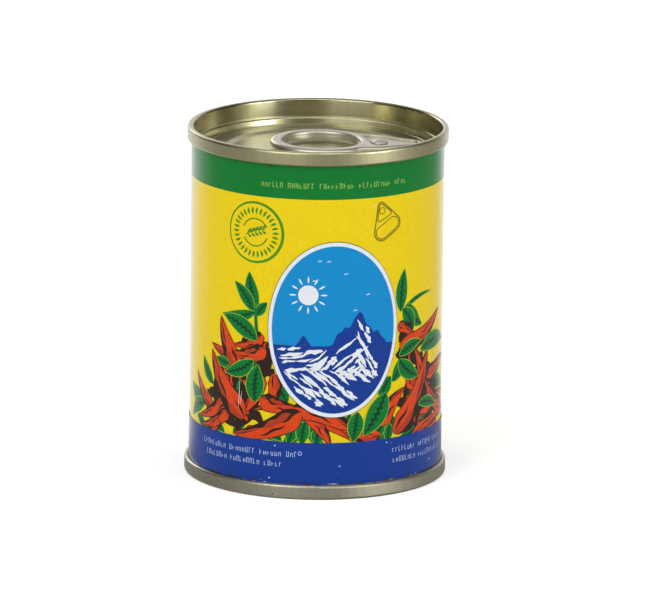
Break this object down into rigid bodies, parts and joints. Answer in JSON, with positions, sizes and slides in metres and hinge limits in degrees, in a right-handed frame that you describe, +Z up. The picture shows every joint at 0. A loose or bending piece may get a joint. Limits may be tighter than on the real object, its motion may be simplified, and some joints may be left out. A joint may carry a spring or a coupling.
{
  "type": "food can",
  "caption": "Small sealed food can with printed body, full-aperture easy-open top with ring-pull tab, and plain bottom end.",
  "frame": {"origin": "centre of the ring that the can stands on, in the plane of its lowest edge", "axes": "+Z up along the can's axis; +X from the tab's finger ring towards its nose; +Y to the body's weld, the back"},
  "size_m": [0.0548, 0.0548, 0.0738],
  "materials": {
    "printed_tinplate": "gloss varnish over printed yellow, green and blue",
    "lacquered_tinplate": "satin, with a faint gold lacquer",
    "tab_tinplate": "satin"
  },
  "bodies": {
    "root": {"can_body": "printed_tinplate", "top_end": "lacquered_tinplate", "bottom_end": "lacquered_tinplate", "pull_tab": "tab_tinplate"}
  },
  "joints": []
}
